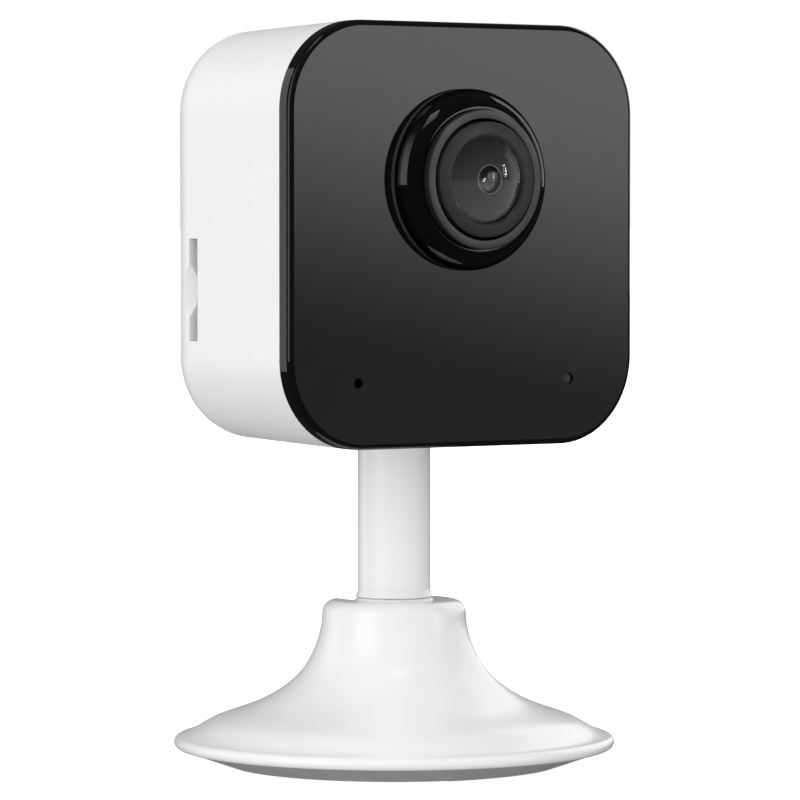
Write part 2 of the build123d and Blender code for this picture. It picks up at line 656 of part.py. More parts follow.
def front_board() -> Part:
    """The board behind the frame, with the lamps, the microphone and the light sensor."""
    solid = plate(HEAD - 17, HEAD - 14, 2.0, FRAME_REAR, FRONT_BOARD_REAR)
    through = (FRAME_REAR - 1, FRONT_BOARD_REAR + 1)
    solid -= rod_y(0, LENS_Z, BEZEL_R + 0.3, *through)
    for x, z in boss_places():
        solid -= rod_y(x, z, BOSS_R + 0.3, *through)
    for x, z in front_screw_places():
        solid -= rod_y(x, z, 0.85, *through)
    return solid


def front_board_screws() -> Part:
    """Two screws that hold the front board to the frame."""
    one = Rot(90, 0, 0) * screw(1.6, 0.9, 0.8, 2.1)
    return joined([Pos(x, FRONT_BOARD_REAR, z) * one for x, z in front_screw_places()])


def chip(x: float, z: float, wide: float, high: float, front: float, rear: float) -> Part:
    """A rectangular component centred at x, z."""
    return block((x - wide / 2, x + wide / 2), (front, rear), (z - high / 2, z + high / 2))


def ir_leds() -> Part:
    """Four infrared lamps round the lens, each a square base with a small dome."""
    lamps = []
    for x, z in led_places():
        base = chip(x, z, 3.0, 3.0, FRAME_REAR - 0.8, FRAME_REAR)
        dome = Pos(x, FRAME_REAR - 0.8, z) * Sphere(0.7)
        lamps.append(base + dome)
    return joined(lamps)


def status_led() -> Part:
    """The lamp behind the light pipe."""
    return chip(DOT_X, DOT_Z, 1.2, 1.2, FRAME_REAR - 0.5, FRAME_REAR)


def light_pipe() -> Part:
    """The clear rod that shows the status light in the panel, its tip a little below the surface."""
    return rod_y(DOT_X, DOT_Z, 0.8, PANEL_FRONT + 0.4, FRAME_REAR - 0.5)


def light_sensor() -> Part:
    """The sensor that tells day from night."""
    return chip(0, DAYLIGHT_Z, 1.8, 1.8, FRAME_REAR - 0.8, FRAME_REAR)


def microphone() -> Part:
    """The microphone's metal can."""
    return chip(-DOT_X, DOT_Z, 2.0, 2.0, FRAME_REAR - 0.8, FRAME_REAR)


def mic_boot() -> Part:
    """The rubber tube between the microphone and its hole."""
    solid = rod_y(-DOT_X, DOT_Z, 1.5, PANEL_REAR, FRAME_REAR - 0.8)
    return solid - rod_y(-DOT_X, DOT_Z, MIC_HOLE_R, PANEL_REAR - 1, FRAME_REAR)


# ---------------------------------------------------------------- head: main board


def main_board() -> Part:
    """The main circuit board, on four posts of the housing."""
    half_x = HEAD / 2 - 5.0
    solid = block((-half_x, half_x), (MAIN_BOARD_FRONT, MAIN_BOARD_REAR), (HEAD_Z - 19.6, HEAD_Z + 19.2))
    for x, z in post_places():
        solid -= rod_y(x, z, FINE_SHANK + SEAT_GAP, MAIN_BOARD_FRONT - 1, MAIN_BOARD_REAR + 1)
    return solid


def board_screws() -> Part:
    """Four screws that hold the main board."""
    one = Rot(-90, 0, 0) * screw(1.8, 1.2, FINE_SHANK, 6.4)
    return joined([Pos(x, MAIN_BOARD_FRONT, z) * one for x, z in post_places()])


def processor() -> Part:
    """The main chip."""
    return chip(0, HEAD_Z + 2, 12.0, 12.0, MAIN_BOARD_FRONT - 1.2, MAIN_BOARD_FRONT)


def thermal_pad() -> Part:
    """The soft pad that carries heat from the chip."""
    return chip(0, HEAD_Z + 2, 11.0, 11.0, MAIN_BOARD_FRONT - 2.2, MAIN_BOARD_FRONT - 1.2)


def heat_spreader() -> Part:
    """The aluminium plate over the chip, on four short feet."""
    front, rear = MAIN_BOARD_FRONT - 3.2, MAIN_BOARD_FRONT - 2.2
    solid = block((-17.5, 17.5), (front, rear), (HEAD_Z - 10, HEAD_Z + 12))
    feet = [chip(x, HEAD_Z + z, 2.5, 2.5, rear, MAIN_BOARD_FRONT) for x in (-16, 16) for z in (-8.5, 10.5)]
    return solid + feet


def wifi_antenna() -> Part:
    """The folded metal aerial along the top of the main board."""
    base = chip(0, HEAD_Z + 15.6, 18.0, 0.5, MAIN_BOARD_FRONT - 1.8, MAIN_BOARD_FRONT)
    return base + chip(0, HEAD_Z + 16.85, 18.0, 3.0, MAIN_BOARD_FRONT - 2.2, MAIN_BOARD_FRONT - 1.8)


def sensor_ribbon() -> Part:
    """The flat cable from the sensor board to the main board, folded once."""
    half, thick, fold = 4.0, 0.3, HEAD_Z - 13.3
    wide = (-half, half)
    solid = block(wide, (SENSOR_BOARD_REAR, SENSOR_BOARD_REAR + thick), (fold, LENS_Z - 11))
    solid += block(wide, (SENSOR_BOARD_REAR, MAIN_BOARD_FRONT), (fold, fold + thick))
    return solid + block(wide, (MAIN_BOARD_FRONT - thick, MAIN_BOARD_FRONT), (fold, HEAD_Z - 10.5))


def usb_shell() -> Part:
    """The power port's metal shell, facing the rear."""
    mouth = HOUSING_REAR - 0.8
    outer = plate_at(PORT_X, REAR_ROW_Z, 8.0, 3.2, 0.75, MAIN_BOARD_REAR, mouth)
    return outer - plate_at(PORT_X, REAR_ROW_Z, 7.4, 2.6, 0.45, MAIN_BOARD_REAR + 1.0, mouth + 1)


def usb_tongue() -> Part:
    """The power port's contact tongue."""
    return chip(PORT_X, REAR_ROW_Z, 5.0, 0.7, MAIN_BOARD_REAR + 1.0, HOUSING_REAR - 1.8)


def card_socket() -> Part:
    """The memory card socket's plastic tray: a floor, two side walls and an end wall."""
    length, deep = (SOCKET_MOUTH, SOCKET_END), (SOCKET_FLOOR, SOCKET_TOP)
    low, high = SLOT_Z - SOCKET_HALF, SLOT_Z + SOCKET_HALF
    solid = block(length, (MAIN_BOARD_REAR, SOCKET_FLOOR), (low, high))
    solid += block(length, deep, (low, low + 1.2))
    solid += block(length, deep, (high - 0.35, high))
    return solid + block((SOCKET_END - 0.8, SOCKET_END), deep, (low, high))


def card_cover() -> Part:
    """The socket's sheet-metal lid."""
    deep = (SOCKET_TOP, SOCKET_TOP + 0.2)
    solid = block((SOCKET_MOUTH, SOCKET_END), deep, (SLOT_Z - SOCKET_HALF, SLOT_Z + SOCKET_HALF))
    return solid - block((SOCKET_MOUTH + 4, SOCKET_MOUTH + 8), deep, (SLOT_Z - 3, SLOT_Z + 3))


def card_slider() -> Part:
    """The push-and-release slide at the side of the card."""
    deep = (SOCKET_FLOOR + RUN_GAP, SOCKET_TOP - RUN_GAP)
    low_x, high_x = SOCKET_MOUTH + 4.9, SOCKET_MOUTH + 10.9
    solid = block((low_x, high_x), deep, (SLOT_Z + 5.7, SLOT_Z + 6.45))
    return solid + block((high_x - 0.6, high_x), deep, (SLOT_Z + 3.6, SLOT_Z + 6.0))


def reset_switch() -> Part:
    """The switch behind the button, with a well for the button's rod."""
    solid = chip(BUTTON_X, REAR_ROW_Z, 4.5, 4.5, MAIN_BOARD_REAR, MAIN_BOARD_REAR + 2.2)
    return solid - rod_y(BUTTON_X, REAR_ROW_Z, 0.9, MAIN_BOARD_REAR + 1.3, MAIN_BOARD_REAR + 3)


def reset_button() -> Part:
    """The round setup button, with a flange inside the wall and a rod to the switch."""
    cap_rear = HOUSING_REAR - 0.2
    flange_rear = INNER_REAR - RUN_GAP
    solid = rod_y(BUTTON_X, REAR_ROW_Z, BUTTON_R, flange_rear - 0.8, cap_rear)
    solid += rod_y(BUTTON_X, REAR_ROW_Z, BUTTON_R + 0.8, flange_rear - 0.8, flange_rear)
    return solid + rod_y(BUTTON_X, REAR_ROW_Z, 0.8, MAIN_BOARD_REAR + 1.35 + BUTTON_TRAVEL, flange_rear)


# ---------------------------------------------------------------- head: speaker


def speaker_frame() -> Part:
    """The speaker's metal basket, open towards the grille."""
    skin = 0.6
    rim_front, basket_front = SPEAKER_REAR - 2.0, SPEAKER_REAR - 4.6
    solid = rod_y(0, SPEAKER_Z, SPEAKER_R, rim_front, SPEAKER_REAR)
    solid += rod_y(0, SPEAKER_Z, BASKET_R, basket_front, SPEAKER_REAR)
    solid -= rod_y(0, SPEAKER_Z, SPEAKER_R - skin, rim_front + skin, SPEAKER_REAR + 1)
    return solid - rod_y(0, SPEAKER_Z, BASKET_R - skin, basket_front + skin, SPEAKER_REAR)


def speaker_magnet() -> Part:
    """The speaker's magnet."""
    return rod_y(0, SPEAKER_Z, 5.6, SPEAKER_REAR - 4.0, SPEAKER_REAR - 2.2)


def speaker_cone() -> Part:
    """The speaker's thin cone, with a round cap in its middle."""
    rear = SPEAKER_REAR
    edge = SPEAKER_R - 0.65
    outline = [(0, rear - 1.2), (3.0, rear - 1.2), (6.0, rear - 0.9), (edge, rear - 0.4), (edge, rear - 0.1)]
    outline += [(8.0, rear - 0.2), (6.0, rear - 0.5), (3.0, rear - 0.9), (2.0, rear - 0.5), (0, rear - 0.3)]
    return turned_y(outline, SPEAKER_Z)


def speaker_gasket() -> Part:
    """The foam ring between the speaker and the rear wall."""
    across = (SPEAKER_REAR, INNER_REAR)
    return rod_y(0, SPEAKER_Z, SPEAKER_R, *across) - rod_y(0, SPEAKER_Z, SPEAKER_R - 2.0, *across)


PIECES = (
    base_shell, base_plate, foot_pads, base_weight, base_screws, socket_cup, cup_screws,
    pivot_ball, swivel_washer, swivel_screw, stem, stem_pin,
    rear_housing, front_panel, panel_adhesive, front_frame, frame_screws,
    lens_ring, lens_bezel, lens_barrel, front_lens, middle_lens, rear_lens, aperture_plate,
    lens_holder, ircut_cover, ircut_carriage, ircut_filter, ircut_clear_glass, ircut_rotor, ircut_stator,
    image_sensor, sensor_board, holder_screws,
    front_board, front_board_screws, ir_leds, status_led, light_pipe, light_sensor, microphone, mic_boot,
    main_board, board_screws, processor, thermal_pad, heat_spreader, wifi_antenna, sensor_ribbon,
    usb_shell, usb_tongue, card_socket, card_cover, card_slider, reset_switch, reset_button,
    speaker_frame, speaker_magnet, speaker_cone, speaker_gasket,
)  # fmt: skip


def main() -> None:
    """Writes each piece to its own file."""
    os.makedirs("parts", exist_ok=True)
    for piece in PIECES:
        export_step(piece(), f"parts/{piece.__name__}.step")


if __name__ == "__main__":
    main()
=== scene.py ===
"""Finishes, fine pieces, studio and camera for a desktop security camera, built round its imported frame."""

import logging
import math
from dataclasses import dataclass, field
from enum import Enum

import bmesh
import bpy
from mathutils import Matrix, Vector


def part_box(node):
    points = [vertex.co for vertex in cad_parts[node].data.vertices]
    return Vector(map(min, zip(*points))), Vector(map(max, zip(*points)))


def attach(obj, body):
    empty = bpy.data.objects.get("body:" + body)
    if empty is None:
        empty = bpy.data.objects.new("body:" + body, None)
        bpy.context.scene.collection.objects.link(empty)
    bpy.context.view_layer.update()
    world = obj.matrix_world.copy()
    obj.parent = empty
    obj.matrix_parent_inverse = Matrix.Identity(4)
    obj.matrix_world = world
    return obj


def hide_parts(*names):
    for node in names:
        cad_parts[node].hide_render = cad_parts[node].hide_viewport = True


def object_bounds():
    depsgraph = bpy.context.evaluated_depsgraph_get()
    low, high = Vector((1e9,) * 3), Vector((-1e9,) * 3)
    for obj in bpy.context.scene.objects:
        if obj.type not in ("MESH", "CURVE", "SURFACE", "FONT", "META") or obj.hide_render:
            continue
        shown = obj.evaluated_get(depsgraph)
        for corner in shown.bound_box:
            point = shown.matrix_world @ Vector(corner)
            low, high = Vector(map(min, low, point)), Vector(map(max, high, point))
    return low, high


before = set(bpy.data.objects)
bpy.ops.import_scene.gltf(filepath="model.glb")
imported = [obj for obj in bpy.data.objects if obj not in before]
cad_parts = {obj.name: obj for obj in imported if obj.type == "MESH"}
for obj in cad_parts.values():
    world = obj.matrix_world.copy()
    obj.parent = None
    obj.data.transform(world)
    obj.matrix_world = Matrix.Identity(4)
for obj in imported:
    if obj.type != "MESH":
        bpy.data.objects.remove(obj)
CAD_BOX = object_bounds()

log = logging.getLogger("security_camera")

MM = 0.001
SHARP = 40.0
Point = tuple[float, float]
Colour = tuple[float, float, float]
Tree = bpy.types.NodeTree
Node = bpy.types.Node


# ---------------------------------------------------------------- finishes


class Grain(Enum):
    """The kinds of surface that the camera's pieces have."""

    MOULDED = "fine spark-eroded mould texture"
    POLISHED = "polished mould, almost no texture"
    BRUSHED = "short directional scratches"
    RUBBER = "coarse matt skin"
    BOARD = "solder mask with copper tracks under it"
    WOUND = "turns of wire"
    FOAM = "open cells"
    CLEAR = "polished and see-through"
    # Painted light: the colour gets paler toward the bottom, in place of light caught inside the lens.
    PAINTED_LOWER_LIGHT = "painted light that gets paler downward"


@dataclass(frozen=True)
class Finish:
    """A finish: what a piece is made of and how its surface was left.

    Colours are linear. Sizes are in metres.
    """

    name: str
    colour: Colour
    roughness: float
    grain: Grain = Grain.MOULDED
    accent: Colour | None = None
    metallic: float = 0.0
    specular: float = 0.5
    ior: float = 1.5
    transmission: float = 0.0
    cell: float = 0.0004
    depth: float = 0.000006
    shade_spread: float = 0.04
    rough_spread: float = 0.05
    glow: float = 0.0
    soft_edge: float = 0.0

    def material(self) -> bpy.types.Material:
        """Makes the finish's material once, and finds it again after that.

        Returns:
            The material, with its nodes.
        """
        title = self.name + "_finish"
        found = bpy.data.materials.get(title)
        if found:
            return found
        made = bpy.data.materials.new(title)
        made.use_nodes = True
        nodes = made.node_tree.nodes
        shader = nodes["Principled BSDF"]
        self._set_constants(shader)
        place = nodes.new("ShaderNodeTexCoord")
        mapping = nodes.new("ShaderNodeMapping")
        mapping.inputs["Scale"].default_value = self._stretch()
        links = made.node_tree.links
        links.new(place.outputs["Object"], mapping.inputs["Vector"])
        self._colour_nodes(made.node_tree, mapping, shader)
        self._rough_nodes(made.node_tree, mapping, shader)
        self._bump_nodes(made.node_tree, mapping, shader)
        return made

    def _set_constants(self, shader: Node) -> None:
        """Sets what is the same all over the surface on the shader's own sockets.

        Args:
            shader: the principled shader.
        """
        values = {
            "Metallic": self.metallic,
            "IOR": self.ior,
            "Specular IOR Level": self.specular,
            "Transmission Weight": self.transmission,
            "Emission Strength": self.glow,
        }
        for socket, value in values.items():
            shader.inputs[socket].default_value = value
        shader.inputs["Emission Color"].default_value = (1, 1, 1, 1)

    def _stretch(self) -> tuple[float, float, float]:
        """The texture's stretch: long streaks on brushed metal, even cells elsewhere."""
        return (0.12, 1.0, 1.0) if self.grain is Grain.BRUSHED else (1.0, 1.0, 1.0)

    def _noise(self, tree: Tree, mapping: Node, cell: float, detail: float) -> Node:
        """Adds a noise texture.

        Args:
            tree: the material's nodes.
            mapping: the node that gives the place.
            cell: the size of a cell, in metres.
            detail: how many finer layers it has.

        Returns:
            The texture node.
        """
        noise = tree.nodes.new("ShaderNodeTexNoise")
        noise.inputs["Scale"].default_value = 1.0 / cell
        noise.inputs["Detail"].default_value = detail
        tree.links.new(mapping.outputs["Vector"], noise.inputs["Vector"])
        return noise

    def _colour_nodes(self, tree: Tree, mapping: Node, shader: Node) -> None:
        """Varies the colour a little over the surface, or lays the accent over it in the grain's pattern; in
        one grain the accent is painted light, paler toward the bottom.

        Args:
            tree: the material's nodes.
            mapping: the node that gives the place.
            shader: the principled shader.
        """
        ramp = tree.nodes.new("ShaderNodeValToRGB")
        low, high = ramp.color_ramp.elements[0], ramp.color_ramp.elements[1]
        low.color = (*[c * (1 - self.shade_spread) for c in self.colour], 1)
        high.color = (*[min(1.0, c * (1 + self.shade_spread)) for c in self.colour], 1)
        low.position, high.position = 0.35, 0.65
        if self.grain is Grain.BOARD:
            pattern = tree.nodes.new("ShaderNodeTexVoronoi")
            pattern.distance = "MANHATTAN"
            pattern.feature = "DISTANCE_TO_EDGE"
            pattern.inputs["Scale"].default_value = 1.0 / self.cell
            tree.links.new(mapping.outputs["Vector"], pattern.inputs["Vector"])
            tree.links.new(pattern.outputs["Distance"], ramp.inputs["Fac"])
            low.color = (*(self.accent or self.colour), 1)
            low.position, high.position = 0.05, 0.07
        elif self.grain is Grain.WOUND:
            pattern = tree.nodes.new("ShaderNodeTexWave")
            pattern.wave_type = "RINGS"
            pattern.rings_direction = "Y"
            pattern.inputs["Scale"].default_value = 1.0 / (self.cell * 6)
            tree.links.new(mapping.outputs["Vector"], pattern.inputs["Vector"])
            tree.links.new(pattern.outputs["Fac"], ramp.inputs["Fac"])
            low.color = (*(self.accent or self.colour), 1)
        elif self.grain is Grain.PAINTED_LOWER_LIGHT:
            # Painted light: the accent at the bottom is paler and the colour darkens upward, in place of
            # light caught inside the lens.
            low.color = (*(self.accent or self.colour), 1)
            high.color = (*self.colour, 1)
            low.position, high.position = 0.0, 1.0
            self._painted_light_ramp(tree, ramp)
        else:
            blotches = self._noise(tree, mapping, self.cell * 12, 3.0)
            tree.links.new(blotches.outputs["Fac"], ramp.inputs["Fac"])
        tree.links.new(ramp.outputs["Color"], shader.inputs["Base Color"])

    def _painted_light_ramp(self, tree: Tree, ramp: Node) -> None:
        """Drives a colour ramp with the height between two levels of the lens, for painted light that is
        paler toward the bottom.

        Args:
            tree: the material's nodes.
            ramp: the ramp.
        """
        low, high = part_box("front_lens")
        place = tree.nodes.new("ShaderNodeTexCoord")
        split = tree.nodes.new("ShaderNodeSeparateXYZ")
        span = tree.nodes.new("ShaderNodeMapRange")
        span.inputs["From Min"].default_value = low[2]
        span.inputs["From Max"].default_value = high[2]
        tree.links.new(place.outputs["Object"], split.inputs["Vector"])
        tree.links.new(split.outputs["Z"], span.inputs["Value"])
        tree.links.new(span.outputs["Result"], ramp.inputs["Fac"])

    def _rough_nodes(self, tree: Tree, mapping: Node, shader: Node) -> None:
        """Varies the roughness, as handling and moulding leave it.

        Args:
            tree: the material's nodes.
            mapping: the node that gives the place.
            shader: the principled shader.
        """
        smears = self._noise(tree, mapping, self.cell * 30, 4.0)
        span = tree.nodes.new("ShaderNodeMapRange")
        span.inputs["From Min"].default_value = 0.3
        span.inputs["From Max"].default_value = 0.7
        span.inputs["To Min"].default_value = max(0.0, self.roughness - self.rough_spread)
        span.inputs["To Max"].default_value = min(1.0, self.roughness + self.rough_spread)
        tree.links.new(smears.outputs["Fac"], span.inputs["Value"])
        tree.links.new(span.outputs["Result"], shader.inputs["Roughness"])

    def _bump_nodes(self, tree: Tree, mapping: Node, shader: Node) -> None:
        """Gives the surface its grain, and rounds its edges a little.

        Args:
            tree: the material's nodes.
            mapping: the node that gives the place.
            shader: the principled shader.
        """
        rounded = None
        if self.soft_edge > 0:
            rounded = tree.nodes.new("ShaderNodeBevel")
            rounded.samples = 6
            rounded.inputs["Radius"].default_value = self.soft_edge
            tree.links.new(rounded.outputs["Normal"], shader.inputs["Normal"])
        if self.depth <= 0:
            return
        if self.grain in (Grain.FOAM, Grain.RUBBER):
            cells = tree.nodes.new("ShaderNodeTexVoronoi")
            cells.inputs["Scale"].default_value = 1.0 / self.cell
            tree.links.new(mapping.outputs["Vector"], cells.inputs["Vector"])
            height = cells.outputs["Distance"]
        else:
            height = self._noise(tree, mapping, self.cell, 5.0).outputs["Fac"]
        bump = tree.nodes.new("ShaderNodeBump")
        bump.inputs["Strength"].default_value = 1.0
        bump.inputs["Distance"].default_value = self.depth
        tree.links.new(height, bump.inputs["Height"])
        if rounded:
            tree.links.new(rounded.outputs["Normal"], bump.inputs["Normal"])
        tree.links.new(bump.outputs["Normal"], shader.inputs["Normal"])


WHITE_BODY = Finish(
    "white_body", (0.86, 0.86, 0.865), 0.34, Grain.MOULDED, cell=0.00022, depth=0.0000012,
    shade_spread=0.004, rough_spread=0.03, soft_edge=0.00025,
)  # fmt: skip
WHITE_GLOSS = Finish(
    "white_gloss", (0.86, 0.86, 0.865), 0.22, Grain.POLISHED, cell=0.0006, depth=0.0000008,
    shade_spread=0.004, rough_spread=0.025, soft_edge=0.00025,
)  # fmt: skip
SMOKED_PANEL = Finish(
    "smoked_panel", (0.005, 0.005, 0.0051), 0.035, Grain.POLISHED, cell=0.0008, depth=0.0,
    shade_spread=0.1, rough_spread=0.01,
)  # fmt: skip
GLOSS_BLACK = Finish(
    "gloss_black", (0.0028, 0.0028, 0.0029), 0.02, Grain.POLISHED, cell=0.0008,
    depth=0.0, shade_spread=0.1, rough_spread=0.01,
)  # fmt: skip
SATIN_BLACK = Finish(
    "satin_black", (0.02, 0.02, 0.0202), 0.22, Grain.MOULDED, cell=0.0002, depth=0.0000012,
    shade_spread=0.06,
)  # fmt: skip
BARREL_BLACK = Finish(
    "barrel_black", (0.024, 0.024, 0.0242), 0.34, Grain.MOULDED, cell=0.00015, depth=0.0000016,
    shade_spread=0.06,
)  # fmt: skip
MATT_BLACK = Finish("matt_black", (0.011, 0.011, 0.011), 0.6, Grain.MOULDED, specular=0.3, cell=0.0003)
GREY_DISH = Finish("grey_dish", (0.46, 0.46, 0.463), 0.5, Grain.MOULDED, cell=0.0003, depth=0.000004)
GREY_RUBBER = Finish("grey_rubber", (0.12, 0.12, 0.122), 0.75, Grain.RUBBER, cell=0.0003, depth=0.00001)
DARK_FOAM = Finish("dark_foam", (0.01, 0.01, 0.01), 0.9, Grain.FOAM, cell=0.0002, depth=0.00002)
ZINC_STEEL = Finish("zinc_steel", (0.55, 0.55, 0.56), 0.3, Grain.BRUSHED, metallic=1.0, cell=0.0002)
NICKEL = Finish("nickel", (0.66, 0.65, 0.62), 0.2, Grain.BRUSHED, metallic=1.0, cell=0.0002, depth=0.000002)
PLAIN_ALUMINIUM = Finish(
    "plain_aluminium", (0.75, 0.75, 0.76), 0.35, Grain.BRUSHED, metallic=1.0, cell=0.0003
)
DARK_MAGNET = Finish("dark_magnet", (0.1, 0.1, 0.105), 0.35, Grain.POLISHED, metallic=0.9, cell=0.0003)
COPPER_WIRE = Finish(
    "copper_wire", (0.62, 0.25, 0.12), 0.3, Grain.WOUND, accent=(0.2, 0.06, 0.03), metallic=0.8, cell=0.00012
)
CIRCUIT_BOARD = Finish(
    "circuit_board", (0.008, 0.075, 0.035), 0.35, Grain.BOARD, accent=(0.03, 0.14, 0.06), cell=0.0028,
    depth=0.000008,
)  # fmt: skip
CHIP_BLACK = Finish("chip_black", (0.018, 0.018, 0.018), 0.5, Grain.MOULDED, cell=0.0001, depth=0.000003)
HEAT_PAD = Finish("heat_pad", (0.32, 0.36, 0.45), 0.8, Grain.RUBBER, cell=0.0003)
FLAT_CABLE = Finish("flat_cable", (0.7, 0.68, 0.6), 0.4, Grain.BRUSHED, cell=0.0003)
COATED_GLASS = Finish(
    "coated_glass", (0.86, 0.88, 0.9), 0.01, Grain.CLEAR, specular=0.2, ior=1.5, transmission=1.0, depth=0.0,
    shade_spread=0.01, rough_spread=0.005, cell=0.0005,
)  # fmt: skip
THIN_GLASS = Finish(
    "thin_glass", (0.93, 0.935, 0.95), 0.01, Grain.CLEAR, specular=0.5, ior=1.22, transmission=1.0, depth=0.0,
    shade_spread=0.01, rough_spread=0.005, cell=0.0005,
)  # fmt: skip
# Painted light: the shoulder's black gets paler toward the bottom, in place of light caught inside the lens.
PAINTED_LIGHT_SHOULDER = Finish(
    "painted_light_shoulder", (0.02, 0.0196, 0.02), 0.6, Grain.PAINTED_LOWER_LIGHT, accent=(0.05, 0.049, 0.05), cell=0.00012,
    depth=0.0000005, specular=0.15,
)  # fmt: skip
DARK_GLASS = Finish(
    "dark_glass", (0.016, 0.016, 0.0165), 0.2, Grain.POLISHED, cell=0.0003, depth=0.0, rough_spread=0.01,
)  # fmt: skip
RIM_GREY = Finish("rim_grey", (0.16, 0.16, 0.165), 0.3, Grain.BRUSHED, cell=0.0001, depth=0.000001)
# Painted reflection: a grey lighter than the gloss ring, put on the ring's outer wall where the panel shows
# in it.
PAINTED_REFLECTION_GREY = Finish("painted_reflection_grey", (0.05, 0.05, 0.051), 0.35, Grain.MOULDED, cell=0.0001, depth=0.000001)
FILTER_GLASS = Finish(
    "filter_glass", (0.45, 0.78, 0.85), 0.03, Grain.CLEAR, ior=1.5, transmission=0.9, depth=0.0, cell=0.0005
)
CLEAR_RESIN = Finish(
    "clear_resin", (0.78, 0.78, 0.74), 0.12, Grain.CLEAR, ior=1.5, transmission=0.5, depth=0.0, cell=0.0003
)
LIGHT_PIPE = Finish(
    "smoked_pipe", (0.02, 0.02, 0.021), 0.25, Grain.CLEAR, ior=1.49, transmission=0.2, cell=0.0002,
    depth=0.000002,
)

FINISH_NODES: list[tuple[Finish, str]] = [
    (WHITE_GLOSS, "base_shell stem pivot_ball"),
    (WHITE_BODY, "rear_housing reset_button"),
    (GREY_DISH, "base_plate"),
    (GREY_RUBBER, "foot_pads mic_boot"),
    (
        ZINC_STEEL,
        "base_weight base_screws cup_screws swivel_washer swivel_screw stem_pin frame_screws "
        "holder_screws front_board_screws board_screws speaker_frame"
    ),
    (
        MATT_BLACK,
        "socket_cup front_frame aperture_plate lens_holder ircut_cover ircut_carriage "
        "usb_tongue card_socket card_slider speaker_cone"
    ),
    (SMOKED_PANEL, "front_panel"),
    (DARK_FOAM, "panel_adhesive speaker_gasket"),
    (GLOSS_BLACK, "lens_ring"),
    (SATIN_BLACK, "lens_bezel"),
    (BARREL_BLACK, "lens_barrel"),
    (COATED_GLASS, "front_lens middle_lens rear_lens ircut_clear_glass"),
    (FILTER_GLASS, "ircut_filter"),
    (DARK_MAGNET, "ircut_rotor speaker_magnet"),
    (COPPER_WIRE, "ircut_stator"),
    (CHIP_BLACK, "image_sensor processor reset_switch"),
    (CIRCUIT_BOARD, "sensor_board front_board main_board"),
    (CLEAR_RESIN, "ir_leds status_led light_sensor"),
    (LIGHT_PIPE, "light_pipe"),
    (NICKEL, "microphone wifi_antenna usb_shell card_cover"),
    (HEAT_PAD, "thermal_pad"),
    (PLAIN_ALUMINIUM, "heat_spreader"),
    (FLAT_CABLE, "sensor_ribbon"),
]
NODE_FINISH = {name: finish for finish, names in FINISH_NODES for name in names.split()}


def dress(piece: bpy.types.Object, finish: Finish) -> bpy.types.Object:
    """Gives a piece its finish.

    Args:
        piece: the object.
        finish: the finish.

    Returns:
        The same object.
    """
    piece.data.materials.clear()
    piece.data.materials.append(finish.material())
    return piece


def dress_frame() -> int:
    """Gives every node of the frame its finish.

    Returns:
        How many nodes were dressed.
    """
    for name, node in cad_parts.items():
        material = NODE_FINISH[name].material()
        if node.material_slots:
            for held in node.material_slots:
                held.material = material
        else:
            node.data.materials.append(material)
    return len(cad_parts)


# ---------------------------------------------------------------- shapes


def new_piece(name: str, shape: bmesh.types.BMesh, body: str, finish: Finish) -> bpy.types.Object:
    """Turns a finished shape into a dressed piece that rides on a body.

    Args:
        name: the piece's name.
        shape: the shape, which is freed.
        body: the body that it rides on.
        finish: its finish.

    Returns:
        The piece.
    """
    mesh = bpy.data.meshes.new(name)
    bmesh.ops.recalc_face_normals(shape, faces=shape.faces)
    shape.to_mesh(mesh)
    shape.free()
    mesh.shade_smooth()
    mesh.set_sharp_from_angle(angle=math.radians(SHARP))
    piece = bpy.data.objects.new(name, mesh)
    bpy.context.collection.objects.link(piece)
    even = piece.modifiers.new("even_faces", "WEIGHTED_NORMAL")
    even.keep_sharp = True
    dress(piece, finish)
    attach(piece, body)
    log.info("built %s with %d faces on %s", name, len(mesh.polygons), body)
    return piece


def softened(outline: list[Point], radius: float, steps: int = 5) -> list[Point]:
    """Rounds the corners of a closed outline.

    Args:
        outline: the corners in order, in metres.
        radius: the largest radius, made smaller where a side is short.
        steps: how many spans each corner gets.

    Returns:
        The finer outline.
    """
    fine = []
    count = len(outline)
    for i, corner in enumerate(outline):
        here = Vector(corner)
        before = Vector(outline[i - 1]) - here
        after = Vector(outline[(i + 1) % count]) - here
        turn = before.angle(after, math.pi)
        cut = min(radius / math.tan(turn / 2), 0.45 * before.length, 0.45 * after.length)
        if math.pi - turn < math.radians(4) or cut <= 0:
            fine.append(corner)
            continue
        start, end = here + before.normalized() * cut, here + after.normalized() * cut
        for step in range(steps + 1):
            t = step / steps
            point = start.lerp(here, t).lerp(here.lerp(end, t), t)
            fine.append((point.x, point.y))
    return fine


def turned(outline: list[Point], centre: Vector, segments: int = 192) -> bmesh.types.BMesh:
    """Turns a closed outline of (radius, y) points about the line along Y through a centre.

    Args:
        outline: the outline, whose radii are above 0.
        centre: a point on the axis, whose y is added to the outline's.
        segments: how many spans a turn has.

    Returns:
        The closed ring.
    """
    shape = bmesh.new()
    rings = []
    for k in range(segments):
        angle = 2 * math.pi * k / segments
        across, up = math.cos(angle), math.sin(angle)
        rings.append([shape.verts.new(centre + Vector((r * across, y, r * up))) for r, y in outline])
    size = len(outline)
    for k, ring in enumerate(rings):
        following = rings[(k + 1) % segments]
        for i in range(size):
            j = (i + 1) % size
            shape.faces.new((ring[i], ring[j], following[j], following[i]))
    return shape


def arc(centre: Point, radius: float, start: float, end: float, spans: int = 16) -> list[Point]:
    """Points along an arc.

    Args:
        centre: the arc's centre.
        radius: its radius.
        start: the first angle in degrees.
        end: the last angle in degrees.
        spans: how many spans it is cut into.

    Returns:
        The points.
    """
    turns = [math.radians(start + (end - start) * i / spans) for i in range(spans + 1)]
    return [(centre[0] + radius * math.cos(t), centre[1] + radius * math.sin(t)) for t in turns]


# ---------------------------------------------------------------- lens


